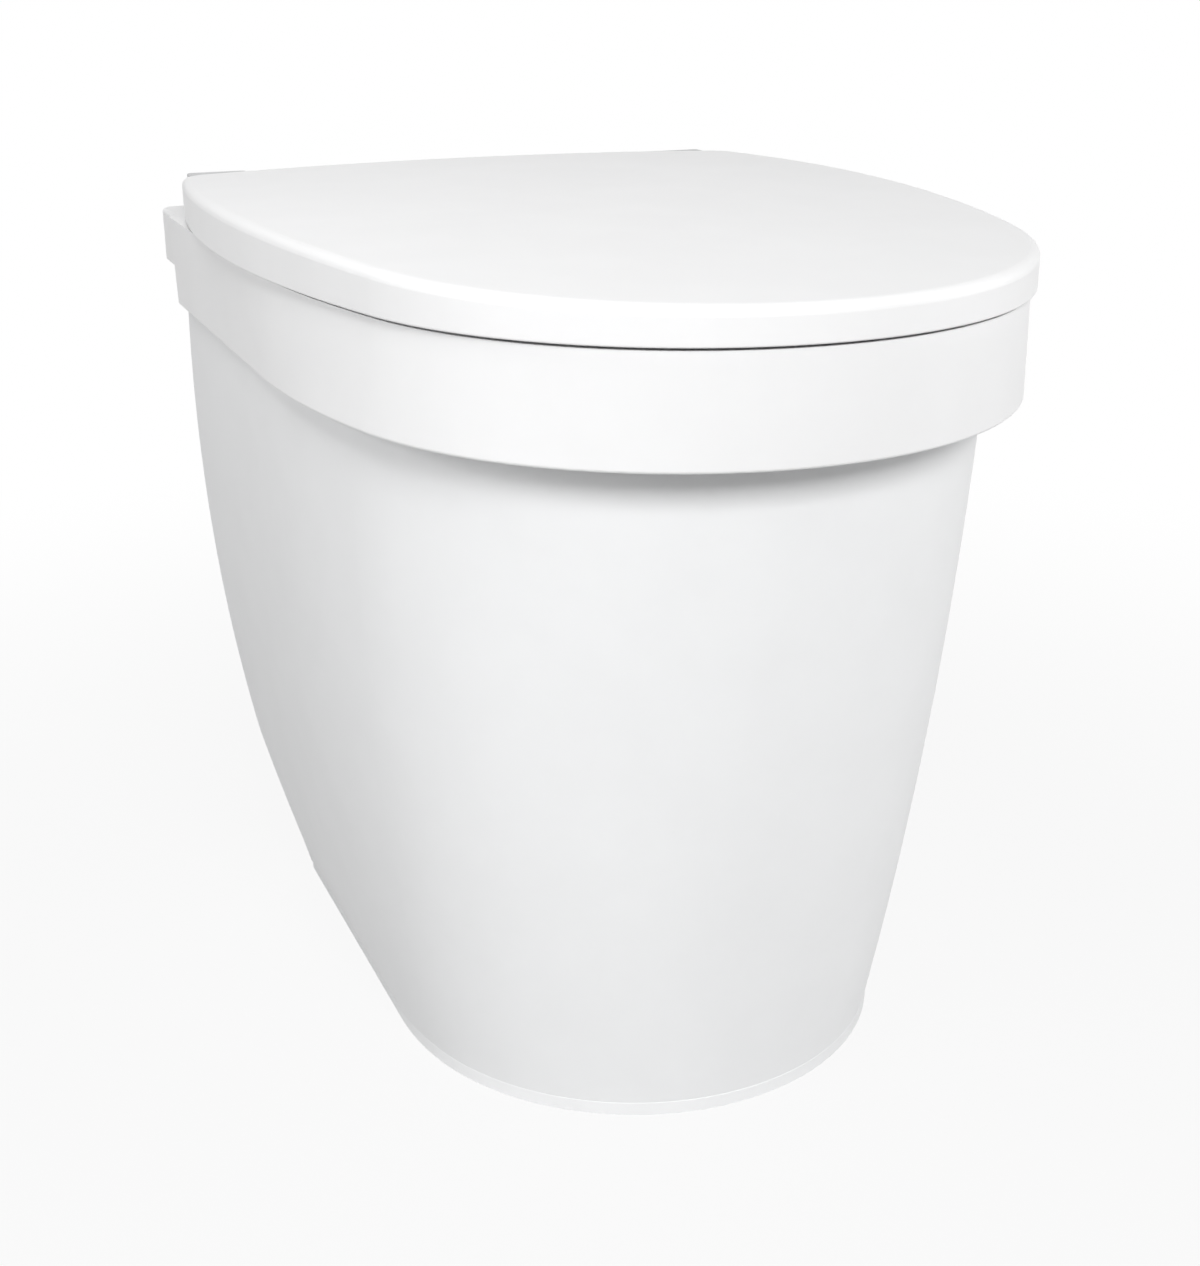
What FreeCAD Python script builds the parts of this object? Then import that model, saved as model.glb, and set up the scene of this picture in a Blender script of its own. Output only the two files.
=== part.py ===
"""Dry toilet with urine diversion: a parametric assembly in millimetres. X is right, -Y the front, Z up."""
import FreeCAD, Part
import math
import operator
import os
from types import SimpleNamespace

Vector = FreeCAD.Vector
UP = Vector(0, 0, 1)
NEAR = 0.01

SIZES = {
    # lid, seen from above and in height
    "lid_length": 488,
    "lid_width": 396,
    "lid_nose_inset": 21,
    "lid_nose_angle": 75,
    "lid_corner_radius": 16,
    "lid_height": 28.5,
    "lid_crown_radius": 5000,
    "lid_crown_set_back": 93,
    "lid_skin": 3.5,
    "lid_ceiling": 4,
    "lid_edge_radius": 5,
    "lid_gap": 1.5,
    "lid_foot_radius": 1,
    # rim band with its deck and rear shelf
    "shelf_depth": 52,
    "shelf_thickness": 33,
    "deck_height": 430,
    "deck_skin": 4,
    "band_depth": 53.5,
    "band_side_inset": 5.5,
    "band_inset": 3,
    "band_front_draft": 3.3,
    "band_nose_spread": 7,
    "band_side_draft": 1.5,
    "band_corner_radius": 10,
    "band_edge_radius": 1.5,
    "shelf_edge_radius": 2.5,
    "band_rear_gap": 5,
    "shelf_side_inset": 3.5,
    "shelf_overlap": 40,
    # body shell: plan at the top, half way up and at the foot
    "body_rear_inset": 46,
    "body_skin": 4,
    "body_corner_radius": 14,
    "top_nose_inset": 20,
    "top_front_inset": 38,
    "top_side_inset": 11,
    "mid_nose_inset": 29.5,
    "mid_front_inset": 57,
    "mid_side_inset": 19.5,
    "foot_nose_inset": 58,
    "foot_front_inset": 85,
    "foot_side_inset": 57,
    "heel_height": 105,
    "heel_reach": 50,
    "heel_foot": 12,
    "heel_edge_radius": 3,
    "lip_height": 8,
    "lip_reach": 1.5,
    "lip_edge_radius": 1,
    "neck_inset": 9,
    "neck_skin": 4,
    "neck_height": 21,
    "shoulder_gap": 0.5,
    "seal_height": 3,
    "seal_overlap": 0.5,
    "floor_screw_radius": 3.25,
    "floor_screw_inset": 23,
    "floor_screw_depth": 180,
    "floor_screw_set_back": 5,
    # seat ring
    "seat_inset": 8,
    "seat_rear_inset": 11,
    "seat_thickness": 8.5,
    "seat_edge_radius": 4,
    "seat_overhang": 3,
    "seat_arm_height": 6,
    "seat_arm_root": 8,
    "buffer_height": 4,
    "buffer_length": 34,
    "buffer_width": 14,
    "buffer_set_out": 22,
    "buffer_rear_inset": 100,
    "stud_set_out": 32,
    "stud_rear_inset": 60,
    # rear hinges
    "hinge_set_back": 14,
    "hinge_rise": 17,
    "hinge_pin_radius": 3,
    "pin_end_wall": 6,
    "lid_arm_height": 9,
    "knuckle_radius": 6.5,
    "bush_wall": 1.2,
    "running_gap": 0.05,
    "hinge_side_inset": 22,
    "knuckle_width": 21,
    "knuckle_gap": 1,
    "block_width": 37,
    "block_depth": 20,
    "block_rise": 4.5,
    "block_corner_radius": 3,
    "cap_height": 1.5,
    "cap_edge_radius": 1,
    "block_bolt_radius": 2.5,
    "block_bolt_grip": 8,
    "bolt_head_height": 5,
    "bolt_wall_gap": 1.5,
    # diverting bowl
    "mouth_side_inset": 93,
    "mouth_front_inset": 79,
    "mouth_corner_radius": 30,
    "bowl_skin": 3,
    "bowl_flange": 13,
    "bowl_hole_gap": 1.5,
    "flange_height": 2.5,
    "flange_edge_radius": 1.2,
    "ridge_drop": 30,
    "ridge_skin": 4,
    "basin_drop": 78,
    "basin_floor_margin": 20,
    "basin_rear_margin": 15,
    "basin_rear_gap": 9,
    "basin_corner_radius": 20,
    "chute_length": 130,
    "chute_side_inset": 3,
    "chute_corner_radius": 9,
    # view screen and its push rod
    "screen_drop": 76,
    "screen_radius": 93.5,
    "screen_skin": 3,
    "screen_side_gap": 2,
    "screen_gap": 1.5,
    "screen_half_angle": 47.5,
    "screen_swing": 84,
    "screen_pin_radius": 4,
    "screen_pin_brim": 3,
    "screen_pin_head": 2.5,
    "screen_pin_end_gap": 0.5,
    "screen_hub_radius": 10,
    "rod_travel": 5,
    "rod_radius": 4,
    "rod_side_gap": 3,
    "rod_head_radius": 9,
    "rod_head_height": 3,
    "rod_seat_gap": 0.3,
    "yoke_width": 6,
    "yoke_depth": 16,
    "yoke_height": 15,
    "guide_bore_radius": 9.6,
    "guide_wall": 3,
    "guide_height": 30,
    "crank_pin_radius": 2,
    "slot_gap": 0.3,
    "slot_end_gap": 0.5,
    "crank_overrun": 4,
    "spring_radius": 7,
    "spring_wire_radius": 0.7,
    "spring_turns": 6,
    # drain spout
    "spout_radius": 11,
    "spout_bore_radius": 8,
    "spout_flange_radius": 18,
    "spout_flange_height": 2,
    "spout_below_neck": 14,
    "washer_height": 3,
    "nut_height": 8,
    "nut_margin": 2,
    "strainer_inset": 1,
    "strainer_skin": 1.5,
    "strainer_hole_radius": 1.5,
    # solids bucket and urine container
    "bucket_set_back": 15,
    "bucket_rear_gap": 27,
    "bucket_flare": 17,
    "bucket_skin": 2.5,
    "bucket_lip": 4,
    "bucket_lip_height": 6,
    "bucket_clearance": 8.5,
    "bag_ring_height": 13,
    "bag_ring_skin": 3,
    "bag_ring_gap": 0.4,
    "can_ahead": 55,
    "can_gap": 6,
    "can_skin": 2.5,
    "can_drop": 11,
    "can_wall_gap": 15,
    "can_flare_gap": 5,
    "can_corner_radius": 20,
    "can_edge_radius": 5,
    "can_neck_radius": 26,
    "can_neck_height": 27,
    "can_neck_wall": 3.5,
    "handle_gap": 16,
    "handle_length": 60,
    "handle_width": 18,
    "handle_height": 24,
    "handle_bar": 7,
    # fan, vent spigot and power inlet
    "fan_drop": 130,
    "fan_width": 80,
    "fan_depth": 25,
    "fan_bore_radius": 37.5,
    "fan_screw_spread": 71.5,
    "fan_screw_radius": 2.1,
    "fan_screw_head": 2.5,
    "fan_screw_end_gap": 0.5,
    "fan_hub_radius": 16,
    "fan_axle_radius": 2,
    "blade_reach": 35.5,
    "blade_count": 7,
    "blade_skin": 2,
    "blade_pitch": 35,
    "rotor_set_in": 3,
    "rotor_gap": 1,
    "strut_depth": 3,
    "strut_width": 4,
    "guard_skin": 2.5,
    "guard_radius": 38,
    "guard_step": 10,
    "guard_bar": 2.5,
    "guard_lug_radius": 4.5,
    "vent_radius": 37.5,
    "vent_wall": 2.5,
    "vent_length": 34,
    "vent_flange_radius": 58,
    "vent_flange_skin": 4,
    "vent_edge_radius": 1,
    "gasket_skin": 1,
    "inlet_side": 80,
    "inlet_above_fan": 30,
    "inlet_radius": 6,
    "inlet_depth": 8,
    "inlet_brim": 4,
    "inlet_face": 2.5,
    "inlet_edge_radius": 0.8,
    "inlet_pin_radius": 1,
    "inlet_nut_height": 4,
    "inlet_nut_wall": 3.5,
}


class Size:
    """A length from the sheet: its number, and the formula that ties a property to the sheet's cells."""

    def __init__(self, value, formula):
        self.value = value
        self.formula = formula

    def __float__(self):
        return self.value

    def __add__(self, other):
        return combine(operator.add, "+", self, other)

    def __radd__(self, other):
        return combine(operator.add, "+", other, self)

    def __sub__(self, other):
        return combine(operator.sub, "-", self, other)

    def __rsub__(self, other):
        return combine(operator.sub, "-", other, self)

    def __mul__(self, other):
        return combine(operator.mul, "*", self, other)

    def __rmul__(self, other):
        return combine(operator.mul, "*", other, self)

    def __truediv__(self, other):
        return combine(operator.truediv, "/", self, other)

    def __neg__(self):
        return combine(operator.mul, "*", -1, self)


def formula_of(value):
    return value.formula if isinstance(value, Size) else f"({float(value):.9g})"


def combine(work, sign, left, right):
    return Size(work(float(left), float(right)), f"({formula_of(left)} {sign} {formula_of(right)})")


def sized(value):
    return value if isinstance(value, Size) else Size(float(value), formula_of(value))


doc = FreeCAD.newDocument("DryToilet")
sheet = doc.addObject("Spreadsheet::Sheet", "Dims")
for row, (alias, number) in enumerate(SIZES.items(), start=1):
    sheet.set(f"A{row}", alias)
    sheet.set(f"B{row}", str(number))
    sheet.setAlias(f"B{row}", alias)
doc.recompute()
d = SimpleNamespace(**{alias: Size(float(sheet.get(alias)), f"Dims.{alias}") for alias in SIZES})

# places that several pieces share
half_width = d.lid_width / 2
lid_nose = half_width - d.lid_nose_inset
lid_front = (d.lid_length + d.shelf_depth) / -2
lid_rear = lid_front + d.lid_length
shelf_rear = lid_rear + d.shelf_depth
lid_bottom = d.deck_height + d.lid_gap
lid_top = lid_bottom + d.lid_height
lid_crown_y = (lid_front + lid_rear) / 2 + d.lid_crown_set_back
deck_under = d.deck_height - d.deck_skin
band_bottom = d.deck_height - d.band_depth
body_rear = shelf_rear - d.body_rear_inset
body_inside_rear = body_rear - d.body_skin
shoulder = band_bottom - d.shoulder_gap
neck_top = shoulder + d.neck_height
seat_bottom = d.deck_height + d.buffer_height
seat_top = seat_bottom + d.seat_thickness
hinge_y = lid_rear + d.hinge_set_back
hinge_z = d.deck_height + d.hinge_rise
block_inner = half_width - d.hinge_side_inset - d.block_width
lid_knuckle_inner = block_inner - d.knuckle_gap - d.knuckle_width
seat_knuckle_inner = lid_knuckle_inner - d.knuckle_gap - d.knuckle_width
band_rear = body_rear + d.band_rear_gap
block_bolt_head = d.block_bolt_radius * 1.8
block_bolt_y = band_rear + block_bolt_head + d.bolt_wall_gap
fan_height = d.deck_height - d.fan_drop
fan_front = body_inside_rear - d.fan_depth
rotor_front = fan_front + d.rotor_set_in
strut_front = body_inside_rear - d.strut_depth
screw_head_front = fan_front - d.guard_skin - d.fan_screw_head
vent_flange_y = body_rear + d.gasket_skin
vent_inner = d.vent_radius - d.vent_wall
can_rear = (lid_front + lid_rear) / 2 - d.can_ahead
bag_ring_front = can_rear + d.can_gap
bag_ring_rear = screw_head_front - d.bucket_rear_gap
bag_ring_radius = (bag_ring_rear - bag_ring_front) / 2
bucket_lip_radius = bag_ring_radius - d.bag_ring_skin - d.bag_ring_gap
bucket_top_radius = bucket_lip_radius - d.bucket_lip
bucket_foot_radius = bucket_top_radius - d.bucket_flare
bucket_y = (bag_ring_rear + bag_ring_front) / 2
chute_y = bucket_y - d.bucket_set_back
chute_front = chute_y - d.chute_length / 2
mouth_half = half_width - d.mouth_side_inset
chute_half = mouth_half - d.chute_side_inset
mouth_front = lid_front + d.mouth_front_inset
mouth_rear = chute_y + d.chute_length / 2
basin_rear = chute_front - d.basin_rear_gap
drain_y = (mouth_front + basin_rear) / 2
ridge_z = d.deck_height - d.ridge_drop
basin_z = d.deck_height - d.basin_drop
screen_z = d.deck_height - d.screen_drop
screen_outer = d.screen_radius + d.screen_skin
cheek_inner = mouth_half + d.bowl_skin + d.screen_side_gap
cheek_outer = cheek_inner + d.screen_skin
boss_outer = cheek_outer + d.screen_skin
half_swing = math.radians(float(d.screen_swing) / 2)
crank_radius = d.rod_travel / (2 * math.sin(half_swing))
rod_x = mouth_half + d.bowl_flange + d.rod_head_radius + d.rod_side_gap
rod_y = chute_y - crank_radius * ((1 + math.cos(half_swing)) / 2)
rod_top = seat_bottom - d.rod_seat_gap
rod_head_under = rod_top - d.rod_head_height
slot_z = screen_z + d.rod_travel / 2
bucket_top = screen_z - screen_outer - d.bucket_clearance - d.bag_ring_skin
can_top = bucket_top - d.can_drop
can_neck_top = can_top + d.can_neck_height
floor_screw_y = chute_y + d.floor_screw_set_back
floor_screw_x = half_width - d.foot_side_inset - d.floor_screw_inset

NODES = []


def keep(label, item):
    """Name a finished sub-part and put it on the list of those written out."""
    item.Label = label
    NODES.append(item)
    return item


def bind(item, prop, size):
    item.setExpression(prop, sized(size).formula)


def place(item, x, y, z):
    for axis, value in zip("xyz", (x, y, z)):
        bind(item, f"Placement.Base.{axis}", value)


def turn_to(item, axis):
    """Lay a piece made along Z along another axis."""
    turns = {"x": FreeCAD.Rotation(Vector(0, 1, 0), 90), "y": FreeCAD.Rotation(Vector(1, 0, 0), -90)}
    if axis in turns:
        item.Placement = FreeCAD.Placement(Vector(0, 0, 0), turns[axis])


def cylinder(axis, at, radius, length):
    item = doc.addObject("Part::Cylinder", "Rod")
    turn_to(item, axis)
    place(item, *at)
    bind(item, "Radius", radius)
    bind(item, "Height", length)
    return item


def box(corner, extent):
    item = doc.addObject("Part::Box", "Block")
    place(item, *corner)
    for prop, value in zip(("Length", "Width", "Height"), extent):
        bind(item, prop, value)
    return item


def fuse(*items):
    item = doc.addObject("Part::MultiFuse", "Joined")
    item.Shapes = list(items)
    return item


def cut(base, *tools):
    item = doc.addObject("Part::Cut", "Cut")
    item.Base = base
    item.Tool = tools[0] if len(tools) == 1 else fuse(*tools)
    return item


def common(first, second):
    item = doc.addObject("Part::Common", "Shared")
    item.Base = first
    item.Tool = second
    return item


def group(*items):
    item = doc.addObject("Part::Compound", "Group")
    item.Links = list(items)
    return item


def line(start, end):
    return Part.LineSegment(Vector(*start, 0), Vector(*end, 0))


def arc(centre, radius, start, end):
    circle = Part.Circle(Vector(*centre, 0), UP, radius)
    return Part.ArcOfCircle(circle, math.radians(start), math.radians(end))


def chain(points):
    return [line(a, b) for a, b in zip(points, points[1:] + points[:1])]


def mirrored(edges):
    """Right-hand lines and arcs of an outline, copied to the left in running order."""
    copies = []
    for edge in reversed(edges):
        if isinstance(edge, Part.LineSegment):
            copies.append(line((-edge.EndPoint.x, edge.EndPoint.y), (-edge.StartPoint.x, edge.StartPoint.y)))
        else:
            centre = (-edge.Center.x, edge.Center.y)
            start, end = math.degrees(edge.FirstParameter), math.degrees(edge.LastParameter)
            copies.append(arc(centre, edge.Radius, 180 - end, 180 - start))
    return copies


def on_circle(centre, radius, degrees):
    turn = math.radians(degrees)
    return (centre[0] + radius * math.cos(turn), centre[1] + radius * math.sin(turn))


def nosed_outline(front, nose, angle, half, rear, corner, straight):
    """Round nose, flatter shoulders up to the full width, then straight or curving sides to the rear edge."""
    front, nose, angle, half, rear, corner = map(float, (front, nose, angle, half, rear, corner))
    tilt = math.radians(angle)
    shoulder_radius = (half - nose * math.sin(tilt)) / (1 - math.sin(tilt))
    hub = (half - shoulder_radius, front + nose + (shoulder_radius - nose) * math.cos(tilt))
    rise = rear - corner - hub[1]
    if straight:
        knee = (half - corner, rear - corner)
        end = 0
    else:
        knee = (hub[0] + math.sqrt((shoulder_radius - corner) ** 2 - rise ** 2), rear - corner)
        end = math.degrees(math.atan2(rise, knee[0] - hub[0]))
    right = [arc(hub, shoulder_radius, angle - 90, end)]
    if straight:
        right.append(line(on_circle(hub, shoulder_radius, 0), (half, knee[1])))
    right.append(arc(knee, corner, end, 90))
    nose_arc = arc((0, front + nose), nose, 270 - angle, 270 + angle)
    return [nose_arc] + right + [line((knee[0], rear), (-knee[0], rear))] + mirrored(right)


def tub_outline(front, nose, half, rear, corner):
    """Round nose with sides that run straight from it to the rounded rear corners."""
    front, nose, half, rear, corner = map(float, (front, nose, half, rear, corner))
    centre = (0, front + nose)
    knee = (half - corner, rear - corner)
    span = math.hypot(knee[0], knee[1] - centre[1])
    lean = math.degrees(math.atan2(knee[1] - centre[1], knee[0]) - math.acos((nose - corner) / span))
    side = line(on_circle(centre, nose, lean), on_circle(knee, corner, lean))
    right = [side, arc(knee, corner, lean, 90)]
    nose_arc = arc(centre, nose, 180 - lean, 360 + lean)
    return [nose_arc] + right + [line((knee[0], rear), (-knee[0], rear))] + mirrored(right)


def slice_outline(front, radius, rear, corner):
    """Part of a circle cut off by a straight rear edge, with rounded corners."""
    front, radius, rear, corner = map(float, (front, radius, rear, corner))
    centre = (0, front + radius)
    rise = rear - corner - centre[1]
    knee = (math.sqrt((radius - corner) ** 2 - rise ** 2), rear - corner)
    end = math.degrees(math.atan2(rise, knee[0]))
    right = [arc(knee, corner, end, 90)]
    nose_arc = arc(centre, radius, 180 - end, 360 + end)
    return [nose_arc] + right + [line((knee[0], rear), (-knee[0], rear))] + mirrored(right)


def lid_plan(inset, rear_inset):
    return nosed_outline(lid_front + inset, lid_nose - inset, d.lid_nose_angle, half_width - inset,
                         lid_rear - rear_inset, d.lid_corner_radius, False)


def band_plan(inset, rear, low):
    """The band's outline at the deck, or drawn in a little and blunter at its lower edge."""
    front_draft = d.band_front_draft if low else 0
    side_draft = d.band_side_draft if low else 0
    spread = d.band_nose_spread if low else 0
    front = lid_front + d.band_inset + inset + front_draft
    nose = lid_nose - d.band_inset - inset + spread
    half = half_width - d.band_side_inset - inset - side_draft
    return nosed_outline(front, nose, d.lid_nose_angle, half, rear, d.band_corner_radius, True)


def body_plan(level, inset, overrun=0):
    levels = {
        "foot": (d.foot_front_inset, d.foot_nose_inset, d.foot_side_inset),
        "mid": (d.mid_front_inset, d.mid_nose_inset, d.mid_side_inset),
        "top": (d.top_front_inset, d.top_nose_inset, d.top_side_inset),
    }
    front, nose, side = levels[level]
    return nosed_outline(lid_front + front + inset, half_width - nose - inset, d.lid_nose_angle,
                         half_width - side - inset, body_rear - inset + overrun, d.body_corner_radius, True)


def mouth_plan(growth):
    half = mouth_half + growth
    return tub_outline(mouth_front - growth, half, half, mouth_rear + growth, d.mouth_corner_radius + growth)


def basin_plan(share, growth):
    """The basin's outline, from its rim (share 0) to its floor (share 1)."""
    floor_nose = d.spout_flange_radius + d.basin_floor_margin
    floor_front = drain_y - floor_nose
    floor_rear = drain_y + d.spout_flange_radius + d.basin_rear_margin
    nose = mouth_half + (floor_nose - mouth_half) * share + growth
    front = mouth_front + (floor_front - mouth_front) * share
    rear = basin_rear + (floor_rear - basin_rear) * share
    corner = d.basin_corner_radius * (1 - share / 2)
    return tub_outline(front - growth, nose, nose, rear + growth, corner + growth)


def can_plan(top, inset):
    """The container follows the body's nose, at the foot or half way up."""
    front = d.mid_front_inset if top else d.foot_front_inset
    nose = d.mid_nose_inset + d.can_flare_gap if top else d.foot_nose_inset
    gap = d.can_wall_gap + inset
    radius = half_width - nose - gap
    return slice_outline(lid_front + front + gap, radius, can_rear - inset, d.can_corner_radius - inset)


def rounded_box_plan(left, right, front, rear, corner):
    left, right, front, rear, corner = map(float, (left, right, front, rear, corner))
    knees = [(right - corner, front + corner), (right - corner, rear - corner),
             (left + corner, rear - corner), (left + corner, front + corner)]
    arcs = [arc(knee, corner, start, start + 90) for knee, start in zip(knees, (-90, 0, 90, 180))]
    sides = []
    for n, edge in enumerate(arcs):
        start = edge.EndPoint
        end = arcs[(n + 1) % 4].StartPoint
        sides.append(Part.LineSegment(start, end))
    return [edge for pair in zip(arcs, sides) for edge in pair]


def flat_sketch(edges, height):
    """A level sketch of one or more outlines at a height."""
    sketch = doc.addObject("Sketcher::SketchObject", "Plan")
    for edge in edges:
        sketch.addGeometry(edge, False)
    bind(sketch, "Placement.Base.z", height)
    return sketch


def prism(edges, bottom, height):
    item = doc.addObject("Part::Extrusion", "Prism")
    item.Base = flat_sketch(edges, bottom)
    item.DirMode = "Custom"
    item.Dir = UP
    item.Solid = True
    bind(item, "LengthFwd", height)
    return item


def loft(*levels):
    """A smooth solid through outlines at rising heights."""
    item = doc.addObject("Part::Loft", "Loft")
    item.Sections = [flat_sketch(edges, height) for edges, height in levels]
    item.Solid = True
    item.Ruled = len(levels) == 2
    return item


def new_body(label):
    return keep(label, doc.addObject("PartDesign::Body", label.title().replace("_", "")))


def sketch_on(body, role, offset, edges):
    """A sketch on one of a body's own planes, moved along the plane's normal."""
    sketch = body.newObject("Sketcher::SketchObject", "Profile")
    plane = [item for item in body.Origin.OriginFeatures if item.Role == role][0]
    sketch.AttachmentSupport = (plane, "")
    sketch.MapMode = "FlatFace"
    bind(sketch, "AttachmentOffset.Base.z", offset)
    for edge in edges:
        sketch.addGeometry(edge, False)
    return sketch


def pad(body, role, offset, edges, length):
    feature = body.newObject("PartDesign::Pad", "Pad")
    feature.Profile = sketch_on(body, role, offset, edges)
    bind(feature, "Length", length)
    body.Tip = feature
    return feature


def pocket(body, role, offset, edges, length, upward):
    feature = body.newObject("PartDesign::Pocket", "Pocket")
    feature.Profile = sketch_on(body, role, offset, edges)
    feature.Reversed = upward
    bind(feature, "Length", length)
    body.Tip = feature
    return feature


def spin(body, kind, offset, edges):
    """A full turn of a profile about the body's upright axis, added or taken away."""
    feature = body.newObject(f"PartDesign::{kind}", kind)
    sketch = sketch_on(body, "XZ_Plane", offset, edges)
    feature.Profile = sketch
    feature.ReferenceAxis = (sketch, ["V_Axis"])
    feature.Angle = 360
    body.Tip = feature
    return feature


def turned(label, points, axis, at):
    """A turned piece: (radius, height) points spun about its own axis, then laid along x, y or z."""
    body = new_body(label)
    spin(body, "Revolution", 0, chain([(float(r), float(h)) for r, h in points]))
    turn_to(body, axis)
    place(body, *at)
    return body


def round_edges(body, radius, wanted):
    """Round the edges of a body's last feature that a test picks out."""
    doc.recompute()
    base = body.Tip
    names = [f"Edge{n}" for n, edge in enumerate(base.Shape.Edges, start=1) if wanted(edge)]
    feature = body.newObject("PartDesign::Fillet", "Rounding")
    feature.Base = (base, names)
    bind(feature, "Radius", radius)
    body.Tip = feature
    return feature


def soften(item, radius, wanted):
    """Round the edges of a plain solid that a test picks out."""
    doc.recompute()
    feature = doc.addObject("Part::Fillet", "Softened")
    feature.Base = item
    size = float(radius)
    feature.Edges = [(n, size, size) for n, edge in enumerate(item.Shape.Edges, start=1) if wanted(edge)]
    return feature


def at_level(height):
    """A test for edges that lie at a height all along."""
    level = float(height)
    return lambda edge: abs(edge.BoundBox.ZMin - level) < NEAR and abs(edge.BoundBox.ZMax - level) < NEAR


def corners_of(spread):
    return [(sx * spread / 2, sz * spread / 2) for sx in (-1, 1) for sz in (-1, 1)]


def body_blank(inset, bottom, top):
    """The body's solid form, or its hollow, with a flat rear wall and rounded rear corners."""
    overrun = 2 * d.body_corner_radius
    levels = (("foot", bottom), ("mid", shoulder / 2), ("top", top))
    form = loft(*[(body_plan(level, inset, overrun), height) for level, height in levels])
    rear = body_rear - inset
    flat = cut(form, box((-half_width, rear, -1), (d.lid_width, 2 * overrun, d.deck_height)))
    tall = 0.9 * float(top - bottom)
    behind = float(rear) - NEAR
    return soften(flat, d.body_corner_radius - inset,
                  lambda edge: edge.BoundBox.ZLength > tall and edge.BoundBox.YMin > behind)


def body_shell():
    outside = soften(cut(body_blank(0, 0, shoulder), heel(0)), d.heel_edge_radius, round_the_heel)
    inside = body_blank(d.body_skin, d.body_skin, shoulder - d.body_skin)
    lip = prism(body_plan("foot", -d.lip_reach, -d.heel_reach), 0, d.lip_height)
    lip = soften(lip, d.lip_edge_radius, at_level(d.lip_height))
    shell = cut(fuse(outside, lip), cut(inside, heel(d.body_skin)))
    opening = prism(body_plan("top", d.neck_inset + d.neck_skin), shoulder - d.body_skin - 1,
                    d.neck_height + d.body_skin + 2)
    neck = prism(body_plan("top", d.neck_inset), shoulder - d.body_skin, d.neck_height + d.body_skin)
    bores = [cylinder("y", (0, body_inside_rear - 1, fan_height), vent_inner, d.body_skin + 2),
             cylinder("y", (d.inlet_side, body_inside_rear - 1, fan_height + d.inlet_above_fan),
                      d.inlet_radius + d.running_gap, d.body_skin + 2)]
    bores += fan_screw_bores(body_inside_rear - 1, d.body_skin + 2)
    bores += [cylinder("z", (x, y, -1), d.floor_screw_radius, d.body_skin + 2) for x, y in floor_screws()]
    hollow = cut(fuse(shell, neck), opening)
    for bore in bores:
        hollow = cut(hollow, bore)
    return keep("body_shell", hollow)


def floor_screws():
    reach = d.floor_screw_depth / 2
    return [(sx * floor_screw_x, floor_screw_y + sy * reach) for sx in (-1, 1) for sy in (-1, 1)]


def round_the_heel(edge):
    """The edges that run round the heel's slope, above its upright foot."""
    bounds = edge.BoundBox
    top = float(d.heel_height) + NEAR
    front = float(body_rear - d.heel_reach) - NEAR
    return bounds.ZMax < top and bounds.YMin > front and bounds.ZMax > float(d.heel_foot) + NEAR


def heel(inset):
    """The space behind the cut-back heel, moved in by a wall's thickness for the inside."""
    rise = float(d.heel_height - d.heel_foot)
    reach = float(d.heel_reach)
    bend = d.heel_foot + inset * ((math.hypot(rise, reach) - rise) / reach)
    top = bend + (d.heel_reach + inset) * (rise / reach)
    front = body_rear - d.heel_reach - inset
    behind = body_rear + d.body_corner_radius
    corners = [(front, 0), (behind, 0), (behind, top), (body_rear, top), (front, bend)]
    edges = chain([(float(y), float(z)) for y, z in corners])
    item = doc.addObject("Part::Extrusion", "Heel")
    sketch = doc.addObject("Sketcher::SketchObject", "HeelProfile")
    sketch.Placement = FreeCAD.Placement(Vector(0, 0, 0), FreeCAD.Rotation(Vector(1, 1, 1), 120))
    for edge in edges:
        sketch.addGeometry(edge, False)
    item.Base = sketch
    item.DirMode = "Custom"
    item.Dir = Vector(1, 0, 0)
    item.Solid = True
    bind(item, "LengthFwd", half_width)
    bind(item, "LengthRev", half_width)
    return item


def rim_seal():
    outer = body_plan("top", d.neck_inset - d.seal_overlap)
    inner = body_plan("top", d.neck_inset + d.neck_skin + d.seal_overlap)
    return keep("rim_seal", prism(outer + inner, neck_top, d.seal_height))


def rim_band():
    skin = d.deck_skin
    outside = loft((band_plan(0, band_rear, True), band_bottom),
                   (band_plan(0, band_rear, False), d.deck_height))
    outside = soften(outside, d.band_edge_radius, at_level(band_bottom))
    inside = loft((band_plan(skin, band_rear - skin, True), band_bottom),
                  (band_plan(skin, band_rear - skin, False), deck_under))
    shelf_bottom = d.deck_height - d.shelf_thickness
    half = half_width - d.band_side_inset - d.shelf_side_inset
    shelf_front = band_rear - d.shelf_overlap
    shelf = prism(rounded_box_plan(-half, half, shelf_front, shelf_rear, d.band_corner_radius), shelf_bottom,
                  d.shelf_thickness)
    shelf = soften(shelf, d.shelf_edge_radius, lambda edge: edge.BoundBox.ZLength < NEAR)
    hollow = box((skin - half, band_rear, shelf_bottom),
                 (2 * (half - skin), shelf_rear - band_rear - skin, d.shelf_thickness - skin))
    rib = prism(body_plan("top", d.neck_inset) + body_plan("top", d.neck_inset + d.neck_skin),
                neck_top + d.seal_height, deck_under - neck_top - d.seal_height)
    mouth = prism(mouth_plan(d.bowl_skin + d.bowl_hole_gap), deck_under - 1, skin + 2)
    bolt_bore = d.block_bolt_radius + d.running_gap
    bores = [cylinder("z", (x, block_bolt_y, deck_under - 1), bolt_bore, skin + 2) for x in block_bolts()]
    bores.append(cylinder("z", (rod_x, rod_y, deck_under - 1), d.guide_bore_radius, skin + 2))
    return keep("rim_band", cut(fuse(cut(fuse(outside, shelf), inside, hollow), rib), mouth, *bores))


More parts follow.
